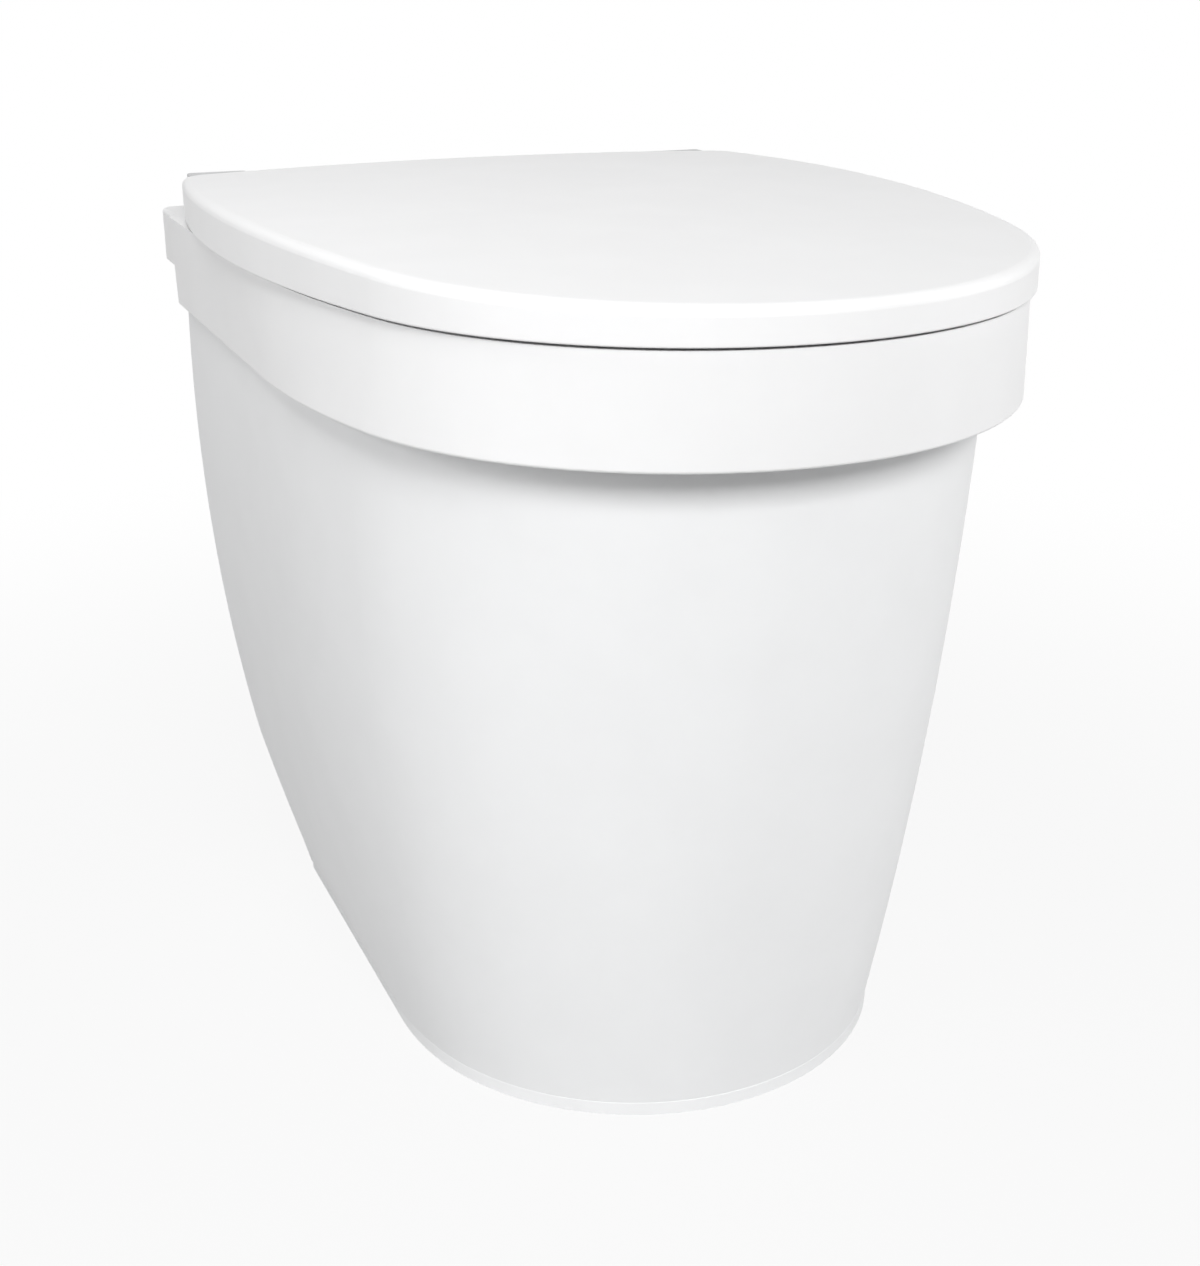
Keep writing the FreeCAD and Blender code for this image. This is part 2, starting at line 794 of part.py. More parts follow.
def lid_form(inset, drop):
    """The lid's domed form, or its hollow, drawn in at the sides and lowered at the top."""
    crown = doc.addObject("Part::Sphere", "Crown")
    turn_to(crown, "x")
    bind(crown, "Radius", d.lid_crown_radius - drop)
    place(crown, 0, lid_crown_y, lid_top - d.lid_crown_radius)
    return common(prism(lid_plan(inset, inset), lid_bottom, d.lid_height), crown)


def lid_hollow():
    return lid_form(d.lid_skin, d.lid_ceiling)


def lid_cover():
    rim_low = float(lid_bottom + d.lid_height / 3)
    outside = soften(lid_form(0, 0), d.lid_edge_radius, lambda edge: edge.BoundBox.ZMin > rim_low)
    shell = cut(soften(outside, d.lid_foot_radius, at_level(lid_bottom)), lid_hollow())
    notch_height = hinge_z + d.lid_arm_height / 2 - lid_bottom
    lugs, bores, notches = [], [], []
    for side in (-1, 1):
        start = lid_knuckle_inner if side > 0 else -lid_knuckle_inner - d.knuckle_width
        lugs.append(cylinder("x", (start, hinge_y, hinge_z), d.knuckle_radius, d.knuckle_width))
        lugs.append(box((start, lid_rear - d.lid_skin, hinge_z - d.lid_arm_height / 2),
                        (d.knuckle_width, d.hinge_set_back + d.lid_skin, d.lid_arm_height)))
        bores.append(cylinder("x", (start - 1, hinge_y, hinge_z), bush_bore(), d.knuckle_width + 2))
        seat_start = seat_knuckle_inner if side > 0 else -seat_knuckle_inner - d.knuckle_width
        notch_width = d.knuckle_width + 2 * d.knuckle_gap
        notches.append(box((seat_start - d.knuckle_gap, lid_rear - d.lid_skin - 1, lid_bottom - 1),
                           (notch_width, d.lid_skin + 2, notch_height + 1)))
    return keep("lid_cover", cut(fuse(cut(shell, *notches), *lugs), *bores))


def pin_bore():
    return d.hinge_pin_radius + d.running_gap


def bush_bore():
    return pin_bore() + d.bush_wall + d.running_gap


def seat_ring():
    body = doc.addObject("PartDesign::Body", "SeatTop")
    pad(body, "XY_Plane", seat_bottom, lid_plan(d.seat_inset, d.seat_rear_inset), d.seat_thickness)
    pocket(body, "XY_Plane", seat_bottom, mouth_plan(-d.seat_overhang), d.seat_thickness, True)
    round_edges(body, d.seat_edge_radius, lambda edge: edge.BoundBox.ZMin > float(seat_top) - 0.1)
    lugs, bores = [], []
    for side in (-1, 1):
        start = seat_knuckle_inner if side > 0 else -seat_knuckle_inner - d.knuckle_width
        lugs.append(cylinder("x", (start, hinge_y, hinge_z), d.knuckle_radius, d.knuckle_width))
        root = lid_rear - d.seat_rear_inset - d.seat_arm_root
        lugs.append(box((start, root, seat_top - d.seat_arm_height),
                        (d.knuckle_width, hinge_y - root, d.seat_arm_height)))
        bores.append(cylinder("x", (start - 1, hinge_y, hinge_z), bush_bore(), d.knuckle_width + 2))
    return keep("seat_ring", cut(fuse(body, *lugs), *bores))


def bushes(label, inner):
    rings = []
    for side in (-1, 1):
        start = inner if side > 0 else -inner - d.knuckle_width
        outer = cylinder("x", (start, hinge_y, hinge_z), bush_bore() - d.running_gap, d.knuckle_width)
        bore = cylinder("x", (start - 1, hinge_y, hinge_z), pin_bore(), d.knuckle_width + 2)
        rings.append(cut(outer, bore))
    return keep(label, group(*rings))


def seat_buffers():
    inner = mouth_half + d.bowl_flange + d.buffer_set_out
    pads = []
    for sx in (-1, 1):
        for y in (lid_front + lid_nose * 0.95, lid_rear - d.buffer_rear_inset):
            x = inner if sx > 0 else -inner - d.buffer_width
            plan = rounded_box_plan(x, x + d.buffer_width, y, y + d.buffer_length, d.buffer_width / 2 - 1)
            pads.append(prism(plan, d.deck_height, d.buffer_height))
    return keep("seat_buffers", group(*pads))


def lid_buffers():
    studs = []
    for sx in (-1, 1):
        for y in (lid_front + lid_nose * 0.8, lid_rear - d.stud_rear_inset):
            at = (sx * (mouth_half + d.stud_set_out), y, seat_top)
            studs.append(cylinder("z", at, d.buffer_width / 2, lid_top - seat_top))
    return keep("lid_buffers", common(fuse(*studs), lid_hollow()))


def block_bolts():
    return [sx * (block_inner + d.block_width * share) for sx in (-1, 1) for share in (0.24, 0.76)]


def hinge_blocks():
    left = -block_inner - d.block_width
    top = hinge_z + d.block_rise
    front = hinge_y - d.block_depth / 2
    for label, start in (("hinge_block_left", left), ("hinge_block_right", block_inner)):
        plan = rounded_box_plan(start, start + d.block_width, front, front + d.block_depth,
                                d.block_corner_radius)
        bore = cylinder("x", (start - 1, hinge_y, hinge_z), pin_bore(), d.block_width + 2)
        bolt_bore = d.block_bolt_radius + d.running_gap
        bolts = [cylinder("z", (x, block_bolt_y, d.deck_height - 1), bolt_bore, d.block_bolt_grip + 2)
                 for x in block_bolts() if (float(x) > 0) == (float(start) > 0)]
        keep(label, cut(prism(plan, d.deck_height, top - d.deck_height), bore, *bolts))
        cap = label.replace("block", "cap")
        keep(cap, soften(prism(plan, top, d.cap_height), d.cap_edge_radius, at_level(top + d.cap_height)))


def hinge_pins():
    length = block_inner + d.block_width - d.pin_end_wall - seat_knuckle_inner
    rods = []
    for side in (-1, 1):
        start = seat_knuckle_inner if side > 0 else -seat_knuckle_inner - length
        rods.append(cylinder("x", (start, hinge_y, hinge_z), d.hinge_pin_radius, length))
    return keep("hinge_pins", group(*rods))


def hinge_bolts():
    bolts = []
    for x in block_bolts():
        shank = cylinder("z", (x, block_bolt_y, deck_under - 1), d.block_bolt_radius,
                         d.deck_skin + d.block_bolt_grip + 1)
        head_bottom = deck_under - d.bolt_head_height
        head = cylinder("z", (x, block_bolt_y, head_bottom), block_bolt_head, d.bolt_head_height)
        socket = doc.addObject("Part::Prism", "Socket")
        socket.Polygon = 6
        bind(socket, "Circumradius", d.block_bolt_radius)
        bind(socket, "Height", d.bolt_head_height * 0.6)
        place(socket, x, block_bolt_y, head_bottom)
        bolts.append(cut(fuse(shank, head), socket))
    return keep("hinge_bolts", group(*bolts))


def diverter_bowl():
    skin = d.bowl_skin
    base = ridge_z - d.ridge_skin
    flange = prism(mouth_plan(d.bowl_flange), d.deck_height, d.flange_height)
    flange = soften(flange, d.flange_edge_radius, at_level(d.deck_height + d.flange_height))
    block = prism(mouth_plan(skin), base, d.deck_height - base + 1)
    drop = ridge_z - basin_z
    steps = ((1, ridge_z - drop), (0.5, ridge_z - drop / 2), (0, ridge_z))
    basin = loft(*[(basin_plan(share, skin), height - skin) for share, height in steps])
    hollow = loft(*[(basin_plan(share, 0), height + (1 if share == 0 else 0)) for share, height in steps])
    half = chute_half
    front = chute_front
    bottom = screen_z - d.screen_radius
    corner = d.chute_corner_radius
    outline = rounded_box_plan(-half - skin, half + skin, front - skin, mouth_rear + skin, corner + skin)
    walls = prism(outline, bottom, ridge_z - bottom)
    chute = prism(rounded_box_plan(-half, half, front, mouth_rear, corner), bottom - 1, ridge_z - bottom + 2)
    mouth = prism(mouth_plan(0), ridge_z, d.ridge_drop + d.flange_height + 1)
    drain = cylinder("z", (0, drain_y, basin_z - skin - 1), d.spout_radius + d.running_gap, skin + 2)
    reach = half + skin + 1
    pins = cylinder("x", (-reach, chute_y, screen_z), d.screen_pin_radius + d.running_gap, 2 * reach)
    solid = fuse(flange, block, basin, walls)
    return keep("diverter_bowl", cut(solid, mouth, hollow, chute, drain, pins, below_screen()))


def below_screen():
    """Everything of the chute that lies outside the circle the screen runs on."""
    half = chute_half + d.bowl_skin + 1
    depth = d.chute_length / 2 + d.bowl_skin + 1
    slab = box((-half, chute_y - depth, screen_z - screen_outer), (2 * half, 2 * depth, screen_outer))
    radius = d.screen_radius - d.screen_gap
    return cut(slab, cylinder("x", (-half - 1, chute_y, screen_z), radius, 2 * half + 2))


def drain_spout():
    tip = can_neck_top - d.spout_below_neck
    flange = basin_z + d.spout_flange_height
    brim = d.spout_flange_radius
    points = [(d.spout_bore_radius, tip), (d.spout_radius, tip), (d.spout_radius, basin_z), (brim, basin_z),
              (brim, flange), (d.spout_bore_radius, flange)]
    turned("drain_spout", points, "z", (0, drain_y, 0))
    under = basin_z - d.bowl_skin
    gap = d.spout_radius + d.running_gap
    low = under - d.washer_height
    washer = [(gap, low), (d.spout_flange_radius, low), (d.spout_flange_radius, under), (gap, under)]
    turned("spout_washer", washer, "z", (0, drain_y, 0))
    hexagon = doc.addObject("Part::Prism", "NutHexagon")
    hexagon.Polygon = 6
    bind(hexagon, "Circumradius", d.spout_flange_radius + d.nut_margin)
    bind(hexagon, "Height", d.nut_height)
    place(hexagon, 0, drain_y, low - d.nut_height)
    bore = cylinder("z", (0, drain_y, low - d.nut_height - 1), gap, d.nut_height + 2)
    keep("spout_nut", cut(hexagon, bore))


def drain_strainer():
    body = new_body("drain_strainer")
    edges = [Part.Circle(Vector(0, 0, 0), UP, float(d.spout_flange_radius - d.strainer_inset))]
    rings = ((0, 1), (float(d.spout_bore_radius) * 0.62, 6))
    for reach, count in rings:
        for n in range(count):
            centre = on_circle((0, 0), reach, 360 * n / count)
            edges.append(Part.Circle(Vector(*centre, 0), UP, float(d.strainer_hole_radius)))
    pad(body, "XY_Plane", 0, edges, d.strainer_skin)
    place(body, 0, drain_y, basin_z + d.spout_flange_height)


def view_screen():
    body = doc.addObject("PartDesign::Body", "ScreenPlate")
    half_angle = float(d.screen_half_angle)
    hub = (float(chute_y), float(screen_z))
    inner, outer = float(d.screen_radius), float(screen_outer)
    low, high = 270 - half_angle, 270 + half_angle
    tips = [on_circle(hub, radius, angle) for angle in (low, high) for radius in (inner, outer)]
    ends = [line(tips[0], tips[1]), line(tips[2], tips[3])]
    sector = [arc(hub, inner, low, high), arc(hub, outer, low, high)] + ends
    plate = pad(body, "YZ_Plane", 0, sector, 2 * cheek_outer)
    plate.Midplane = True
    pie = [arc(hub, outer, low, high), line(hub, tips[1]), line(hub, tips[3])]
    for offset in (cheek_inner, -cheek_outer):
        pad(body, "YZ_Plane", offset, pie, d.screen_skin)
    bosses, bores = [], []
    for side in (-1, 1):
        start = cheek_inner if side > 0 else -boss_outer
        bosses.append(cylinder("x", (start, chute_y, screen_z), d.screen_hub_radius, 2 * d.screen_skin))
        depth = d.screen_skin + 1
        bore = cheek_inner - 1 if side > 0 else -cheek_inner - depth + 1
        bores.append(cylinder("x", (bore, chute_y, screen_z), d.screen_pin_radius + d.running_gap, depth))
    reach = rod_x + d.crank_overrun - boss_outer
    crank = cylinder("x", (boss_outer - 1, chute_y - crank_radius * math.cos(half_swing), slot_z),
                     d.crank_pin_radius, reach + 1)
    return keep("view_screen", cut(fuse(body, *bosses, crank), *bores))


def screen_pins():
    half = chute_half
    length = cheek_outer - d.screen_pin_end_gap - half
    pins = []
    for side in (-1, 1):
        head_start = half - d.screen_pin_head if side > 0 else -half
        head_radius = d.screen_pin_radius + d.screen_pin_brim
        head = cylinder("x", (head_start, chute_y, screen_z), head_radius, d.screen_pin_head)
        start = half - 1 if side > 0 else -half - length
        pins.append(fuse(head, cylinder("x", (start, chute_y, screen_z), d.screen_pin_radius, length + 1)))
    return keep("screen_pins", group(*pins))


def push_rod():
    head = cylinder("z", (rod_x, rod_y, rod_head_under), d.rod_head_radius, d.rod_head_height)
    stem_bottom = slot_z + d.yoke_height / 3
    stem = cylinder("z", (rod_x, rod_y, stem_bottom), d.rod_radius, rod_head_under + 1 - stem_bottom)
    yoke = box((rod_x - d.yoke_width / 2, rod_y - d.yoke_depth / 2, slot_z - d.yoke_height / 2),
               (d.yoke_width, d.yoke_depth, d.yoke_height))
    slot_half = d.crank_pin_radius + d.slot_gap
    slot_reach = slot_half + crank_radius * ((1 - math.cos(half_swing)) / 2) + d.slot_end_gap
    slot = box((rod_x - d.yoke_width / 2 - 1, rod_y - slot_reach, slot_z - slot_half),
               (d.yoke_width + 2, 2 * slot_reach, 2 * slot_half))
    return keep("push_rod", cut(fuse(head, stem, yoke), slot))


def rod_guide():
    bottom = deck_under - d.guide_height
    floor = bottom + d.guide_wall
    bore = d.rod_radius + d.running_gap
    outer = d.guide_bore_radius + d.guide_wall
    points = [(bore, bottom), (outer, bottom), (outer, deck_under), (d.guide_bore_radius, deck_under),
              (d.guide_bore_radius, floor), (bore, floor)]
    turned("rod_guide", points, "z", (rod_x, rod_y, 0))


def return_spring():
    """Coiled wire between the guide's floor and the rod's head."""
    wire = float(d.spring_wire_radius)
    radius = float(d.spring_radius)
    bottom = deck_under - d.guide_height + d.guide_wall
    height = float(rod_head_under - bottom - 2 * (d.spring_wire_radius + d.running_gap))
    helix = Part.makeHelix(height / float(d.spring_turns), height, radius)
    section = Part.Wire(Part.makeCircle(wire, Vector(radius, 0, 0), Vector(0, 1, 0)))
    item = doc.addObject("Part::Feature", "Spring")
    item.Shape = Part.Wire(helix).makePipeShell([section], True, True)
    place(item, rod_x, rod_y, bottom + d.spring_wire_radius + d.running_gap)
    return keep("return_spring", item)


def solids_bucket():
    floor = d.body_skin
    skin = d.bucket_skin
    lip = bucket_lip_radius
    under_lip = bucket_top - d.bucket_lip_height
    points = [(0, floor), (bucket_foot_radius, floor), (bucket_top_radius, under_lip), (lip, under_lip),
              (lip, bucket_top), (bucket_top_radius - skin, bucket_top),
              (bucket_foot_radius - skin, floor + skin), (0, floor + skin)]
    turned("solids_bucket", points, "z", (0, bucket_y, 0))
    ring_top = bucket_top + d.bag_ring_skin
    skirt = ring_top - d.bag_ring_height
    inner = bucket_top_radius - skin
    skirt_inner = lip + d.bag_ring_gap
    ring = [(inner, bucket_top), (skirt_inner, bucket_top), (skirt_inner, skirt), (bag_ring_radius, skirt),
            (bag_ring_radius, ring_top), (inner, ring_top)]
    turned("bag_ring", ring, "z", (0, bucket_y, 0))


def urine_can():
    floor = d.body_skin
    skin = d.can_skin
    tank = loft((can_plan(False, 0), floor), (can_plan(True, 0), can_top))
    tank = soften(tank, d.can_edge_radius, at_level(can_top))
    hollow = loft((can_plan(False, skin), floor + skin), (can_plan(True, skin), can_top - skin))
    neck = cylinder("z", (0, drain_y, can_top - 1), d.can_neck_radius, d.can_neck_height + 1)
    bore = cylinder("z", (0, drain_y, can_top - skin - 1), d.can_neck_radius - d.can_neck_wall,
                    d.can_neck_height + skin + 2)
    left = d.can_neck_radius + d.handle_gap
    front = drain_y - d.handle_width / 2
    handle = box((left, front, can_top - 1), (d.handle_length, d.handle_width, d.handle_height + 1))
    grip = box((left + d.handle_bar, front - 1, can_top),
               (d.handle_length - 2 * d.handle_bar, d.handle_width + 2, d.handle_height - d.handle_bar))
    return keep("urine_can", cut(fuse(cut(tank, hollow), neck, cut(handle, grip)), bore))


def fan_screw_bores(start, length):
    return [cylinder("y", (x, start, fan_height + z), d.fan_screw_radius + d.running_gap, length)
            for x, z in corners_of(d.fan_screw_spread)]


def fan_frame():
    half = d.fan_width / 2
    case = box((-half, fan_front, fan_height - half), (d.fan_width, d.fan_depth, d.fan_width))
    duct = cylinder("y", (0, fan_front - 1, fan_height), d.fan_bore_radius, d.fan_depth + 2)
    plate = cylinder("y", (0, strut_front, fan_height), d.fan_hub_radius, d.strut_depth)
    reach = d.fan_bore_radius + 1
    width = d.strut_width
    struts = [box((-reach, strut_front, fan_height - width / 2), (2 * reach, d.strut_depth, width)),
              box((-width / 2, strut_front, fan_height - reach), (width, d.strut_depth, 2 * reach))]
    seat = cylinder("y", (0, strut_front - 1, fan_height), d.fan_axle_radius + d.running_gap, d.strut_depth)
    frame = fuse(cut(case, duct, *fan_screw_bores(fan_front - 1, d.fan_depth + 2)), plate, *struts)
    keep("fan_frame", cut(frame, seat))
    axle_length = strut_front - 1 + d.strut_depth - rotor_front
    keep("fan_axle", cylinder("y", (0, rotor_front, fan_height), d.fan_axle_radius, axle_length))


def fan_rotor():
    start = rotor_front
    depth = strut_front - d.rotor_gap - rotor_front
    hub = cylinder("y", (0, start, fan_height), d.fan_hub_radius, depth)
    blades = []
    count = int(float(d.blade_count))
    for n in range(count):
        blade = doc.addObject("Part::Box", "Blade")
        pitch = FreeCAD.Rotation(Vector(1, 0, 0), float(d.blade_pitch))
        spoke = FreeCAD.Rotation(Vector(0, 1, 0), 360 * n / count)
        corner = spoke.multVec(pitch.multVec(Vector(0, -float(depth) / 2, -float(d.blade_skin) / 2)))
        blade.Placement = FreeCAD.Placement(corner, spoke.multiply(pitch))
        bind(blade, "Length", d.blade_reach)
        bind(blade, "Width", depth)
        bind(blade, "Height", d.blade_skin)
        place(blade, corner.x, start + depth / 2 + corner.y, fan_height + corner.z)
        blades.append(blade)
    bore = cylinder("y", (0, start - 1, fan_height), d.fan_axle_radius + d.running_gap, depth + 2)
    return keep("fan_rotor", cut(fuse(hub, *blades), bore))


def fan_guard():
    start = fan_front - d.guard_skin
    rings = []
    for n in range(3):
        outer = d.guard_radius - n * d.guard_step
        ring = cylinder("y", (0, start, fan_height), outer, d.guard_skin)
        hole = cylinder("y", (0, start - 1, fan_height), outer - d.guard_bar, d.guard_skin + 2)
        rings.append(cut(ring, hole))
    arms = []
    reach = d.fan_screw_spread * math.sqrt(0.5)
    for angle in (45, -45):
        arm = doc.addObject("Part::Box", "Arm")
        turn = FreeCAD.Rotation(Vector(0, 1, 0), angle)
        corner = turn.multVec(Vector(-float(reach), 0, -float(d.strut_width) / 2))
        arm.Placement = FreeCAD.Placement(corner, turn)
        bind(arm, "Length", 2 * reach)
        bind(arm, "Width", d.guard_skin)
        bind(arm, "Height", d.strut_width)
        place(arm, corner.x, start, fan_height + corner.z)
        arms.append(arm)
    lugs = [cylinder("y", (x, start, fan_height + z), d.guard_lug_radius, d.guard_skin)
            for x, z in corners_of(d.fan_screw_spread)]
    keep("fan_guard", cut(fuse(*rings, *arms, *lugs), *fan_screw_bores(start - 1, d.guard_skin + 2)))
    screws = []
    for x, z in corners_of(d.fan_screw_spread):
        head_start = start - d.fan_screw_head
        head = cylinder("y", (x, head_start, fan_height + z), 2 * d.fan_screw_radius, d.fan_screw_head)
        length = vent_flange_y + d.vent_flange_skin - d.fan_screw_end_gap - start
        shank = cylinder("y", (x, start - 1, fan_height + z), d.fan_screw_radius, length + 1)
        screws.append(fuse(head, shank))
    keep("fan_screws", group(*screws))


def vent_spigot():
    skin = d.vent_flange_skin
    flange = cylinder("y", (0, vent_flange_y, fan_height), d.vent_flange_radius, skin)
    outer_face = float(vent_flange_y + skin) - NEAR
    flange = soften(flange, d.vent_edge_radius, lambda edge: edge.BoundBox.YMin > outer_face)
    pipe = cylinder("y", (0, vent_flange_y, fan_height), d.vent_radius, skin + d.vent_length)
    bore = cylinder("y", (0, vent_flange_y - 1, fan_height), vent_inner, skin + d.vent_length + 2)
    keep("vent_spigot", cut(fuse(flange, pipe), bore, *fan_screw_bores(vent_flange_y - 1, skin + 2)))
    ring = cylinder("y", (0, body_rear, fan_height), d.vent_flange_radius - 1, d.gasket_skin)
    hole = cylinder("y", (0, body_rear - 1, fan_height), d.fan_bore_radius, d.gasket_skin + 2)
    keep("vent_gasket", cut(ring, hole, *fan_screw_bores(body_rear - 1, d.gasket_skin + 2)))


def power_inlet():
    at = (d.inlet_side, body_rear, fan_height + d.inlet_above_fan)
    barrel = -d.body_skin - d.inlet_depth
    bore = d.inlet_radius - d.inlet_face
    brim = d.inlet_radius + d.inlet_brim
    bottom = -d.inlet_depth
    pin = d.inlet_pin_radius
    points = [(0, barrel), (d.inlet_radius, barrel), (d.inlet_radius, 0), (brim, 0), (brim, d.inlet_face),
              (bore, d.inlet_face), (bore, bottom), (pin, bottom), (pin, 0), (0, 0)]
    socket = turned("power_inlet", points, "y", at)
    rim = float(d.inlet_face) - NEAR
    round_edges(socket, d.inlet_edge_radius, lambda edge: edge.BoundBox.ZMin > rim)
    gap = d.inlet_radius + d.running_gap
    outer = d.inlet_radius + d.inlet_nut_wall
    low = -d.body_skin - d.inlet_nut_height
    ring = [(gap, low), (outer, low), (outer, -d.body_skin), (gap, -d.body_skin)]
    turned("inlet_nut", ring, "y", at)


def build():
    body_shell()
    rim_seal()
    rim_band()
    lid_cover()
    seat_ring()
    bushes("lid_bushes", lid_knuckle_inner)
    bushes("seat_bushes", seat_knuckle_inner)
    seat_buffers()
    lid_buffers()
    hinge_blocks()
    hinge_pins()
    hinge_bolts()
    diverter_bowl()
    drain_spout()
    drain_strainer()
    view_screen()
    screen_pins()
    push_rod()
    rod_guide()
    return_spring()
    solids_bucket()
    urine_can()
    fan_frame()
    fan_rotor()
    fan_guard()
    vent_spigot()
    power_inlet()
    doc.recompute()


def check():
    for item in doc.Objects:
        if "Invalid" in item.State or "Error" in item.State:
            raise RuntimeError(f"{item.Name} ({item.Label}) did not build: {item.State}")
    for item in NODES:
        if item.Shape.isNull() or not item.Shape.isValid():
            raise RuntimeError(f"{item.Label} has no valid shape")


build()
check()
os.makedirs("parts", exist_ok=True)
for node in NODES:
    node.Shape.exportStep(f"parts/{node.Label}.step")
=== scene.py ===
"""Looks of a dry toilet with urine diversion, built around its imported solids.

Lengths are in metres, with X to the right, -Y to the front and Z up.
"""
import math

import bmesh
import bpy
from bpy.props import FloatProperty, FloatVectorProperty, IntProperty, PointerProperty
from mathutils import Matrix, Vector


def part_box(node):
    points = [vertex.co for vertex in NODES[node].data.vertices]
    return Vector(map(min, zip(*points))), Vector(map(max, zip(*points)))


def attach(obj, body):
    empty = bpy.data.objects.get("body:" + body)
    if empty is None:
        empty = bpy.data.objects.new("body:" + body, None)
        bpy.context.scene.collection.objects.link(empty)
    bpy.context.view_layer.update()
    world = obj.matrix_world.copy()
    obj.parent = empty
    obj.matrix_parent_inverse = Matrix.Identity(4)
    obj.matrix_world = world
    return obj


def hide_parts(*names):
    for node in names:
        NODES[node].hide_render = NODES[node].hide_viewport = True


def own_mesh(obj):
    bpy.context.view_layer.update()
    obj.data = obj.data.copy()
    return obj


bl_info = {
    "name": "Dry Toilet Looks",
    "version": (1, 0, 0),
    "blender": (4, 5, 0),
    "location": "View3D > Sidebar > Dry Toilet",
    "description": "Finishes the pieces of a dry toilet and sets them on a pale studio floor",
    "category": "Object",
}

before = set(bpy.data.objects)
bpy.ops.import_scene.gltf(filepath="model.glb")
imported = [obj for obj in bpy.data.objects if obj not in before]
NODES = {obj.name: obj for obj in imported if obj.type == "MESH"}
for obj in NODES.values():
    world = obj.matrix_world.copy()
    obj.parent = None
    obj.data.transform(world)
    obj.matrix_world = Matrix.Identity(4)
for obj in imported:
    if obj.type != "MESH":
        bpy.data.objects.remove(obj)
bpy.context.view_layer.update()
UP = Vector((0, 0, 1))

COLOUR_A, COLOUR_B, COLOUR_OUT = 6, 7, 2  # sockets of a Mix node that mixes colours
WHITE = (1, 1, 1, 1)
DUST_COLOUR = (0.45, 0.44, 0.42, 1)
LOW_TONE = 0.985
MARK_ROUGHNESS = 0.18
COAT_ROUGHNESS = 0.12
RUBBER_ROUGHNESS = (0.62, 0.8)
STEEL_ROUGHNESS = (0.24, 0.42)
RUBBER_GRAIN_SCALE = 1500
STEEL_STREAK_SCALE = 900

AIM = (0, -0.03, 0.25)
FRAME_HEIGHT_MM = 36
FLOOR_REACH = 6.0
FLOOR_FADE = (0.3, 1.2)


def colour_prop(name, description, default):
    return FloatVectorProperty(name=name, description=description, subtype="COLOR", size=3, min=0, max=1,
                               default=default)


def power_prop(name, description, default):
    return FloatProperty(name=name, description=description, default=default, min=0, unit="POWER")


class ShellProps(bpy.types.PropertyGroup):
    """Finish of the white mouldings."""
    colour: colour_prop("Body colour", "White of the body shell", (0.9, 0.905, 0.91))
    top_colour: colour_prop("Top colour", "White of the band, lid and seat", (0.9, 0.9, 0.903))
    bowl_colour: colour_prop("Bowl colour", "White of the diverting bowl", (0.86, 0.865, 0.86))
    roughness: FloatProperty(name="Roughness", description="How matt the mouldings are",
                             default=0.48, min=0, max=1, subtype="FACTOR")
    ripple: FloatProperty(name="Ripple", description="Depth of the slow waves in the wall",
                          default=0.0004, min=0, unit="LENGTH")
    grain: FloatProperty(name="Grain", description="Depth of the fine skin texture",
                         default=0.000004, min=0, unit="LENGTH")


class FittingProps(bpy.types.PropertyGroup):
    """Colours of the fittings and make of the return spring."""
    hinge: colour_prop("Hinges", "Grey of the hinge caps", (0.56, 0.56, 0.57))
    bush: colour_prop("Bushes", "Off-white of the bearing bushes", (0.8, 0.79, 0.74))
    rubber: colour_prop("Rubber", "Dark grey of seals and washers", (0.035, 0.036, 0.038))
    buffer: colour_prop("Buffers", "Grey of the seat and lid buffers", (0.42, 0.43, 0.45))
    steel: colour_prop("Steel", "Colour of pins, bolts and spring", (0.56, 0.56, 0.55))
    bucket: colour_prop("Bucket", "Grey of the solids bucket", (0.2, 0.21, 0.225))
    can: colour_prop("Container", "Milky colour of the urine container", (0.79, 0.77, 0.68))
    fan: colour_prop("Fan", "Black of the fan and power inlet", (0.018, 0.018, 0.02))
    spring_wire: FloatProperty(name="Spring wire", description="Radius of the return spring's wire",
                               default=0.0007, min=0, unit="LENGTH")
    spring_turns: IntProperty(name="Spring turns", description="Turns of the return spring", default=6, min=1)


class StageProps(bpy.types.PropertyGroup):
    """Camera, light and floor."""
    camera_place: FloatVectorProperty(name="Camera place", description="Where the camera stands",
                                      size=3, subtype="TRANSLATION", default=(-0.3909, -0.9083, 0.5865))
    camera_back: FloatVectorProperty(name="Camera axis", description="From the object towards the camera",
                                     size=3, subtype="DIRECTION", default=(-0.3684, -0.8576, 0.3588))
    lens: FloatProperty(name="Lens", description="Focal length in millimetres on a 36 mm high frame",
                        default=51.1, min=1)
    sky: FloatProperty(name="Sky", description="Level of the even light from all round", default=0.1, min=0)
    key: power_prop("Key", "Power of the main light in front", 94)
    left: power_prop("Left", "Power of the light on the left", 11)
    right: power_prop("Right", "Power of the light on the right", 9.3)
    overhead: power_prop("Overhead", "Power of the light above", 4.2)
    rear: power_prop("Rear", "Power of the light behind", 14)
    floor: colour_prop("Floor", "Pale floor", (0.5, 0.5, 0.5))
    near_white: FloatProperty(name="Near white", default=0.9, min=0, max=1, subtype="FACTOR",
                              description="Share of plain white in the floor beside the object")


def settings():
    scene = bpy.context.scene
    return scene.dry_toilet_shell, scene.dry_toilet_fittings, scene.dry_toilet_stage


def add(tree, kind, sockets=None, **options):
    """A shader node with its options, and each named input either linked or set."""
    node = tree.nodes.new(f"ShaderNode{kind}")
    for option, value in options.items():
        setattr(node, option, value)
    for key, value in (sockets or {}).items():
        if isinstance(value, bpy.types.NodeSocket):
            tree.links.new(value, node.inputs[key])
        else:
            node.inputs[key].default_value = value
    return node


